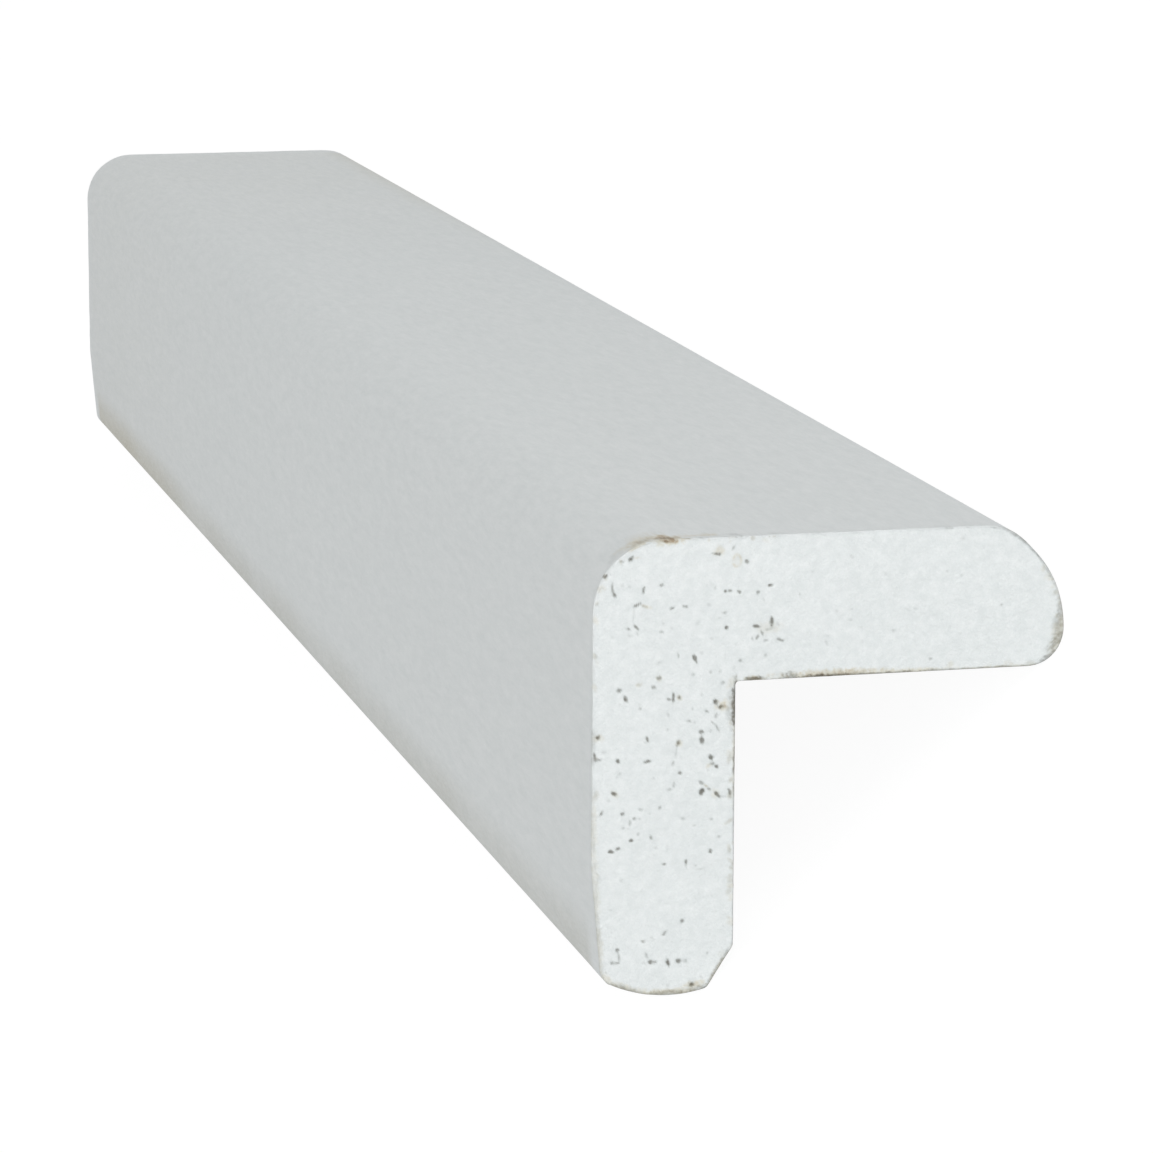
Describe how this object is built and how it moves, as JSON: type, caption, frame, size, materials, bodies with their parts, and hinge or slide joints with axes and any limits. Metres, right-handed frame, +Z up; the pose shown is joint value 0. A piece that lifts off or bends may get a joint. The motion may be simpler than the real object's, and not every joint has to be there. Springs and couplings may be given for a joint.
{
  "type": "outside corner moulding",
  "caption": "Stick of primed wood moulding, L-shaped in section with rounded nose and leg ends, that caps the outside corner of a wall.",
  "frame": {"origin": "middle of the floor under the moulding, which rests on its two leg ends with the outer corner up", "axes": "+Y along the stick, +Z up through the outer corner, +X across the two legs, towards the first and wider one"},
  "size_m": [0.0356, 0.203, 0.0229],
  "materials": {
    "primed_wood": "matte white primer over finger-jointed softwood"
  },
  "bodies": {
    "root": {"corner_moulding": "primed_wood"}
  },
  "joints": []
}
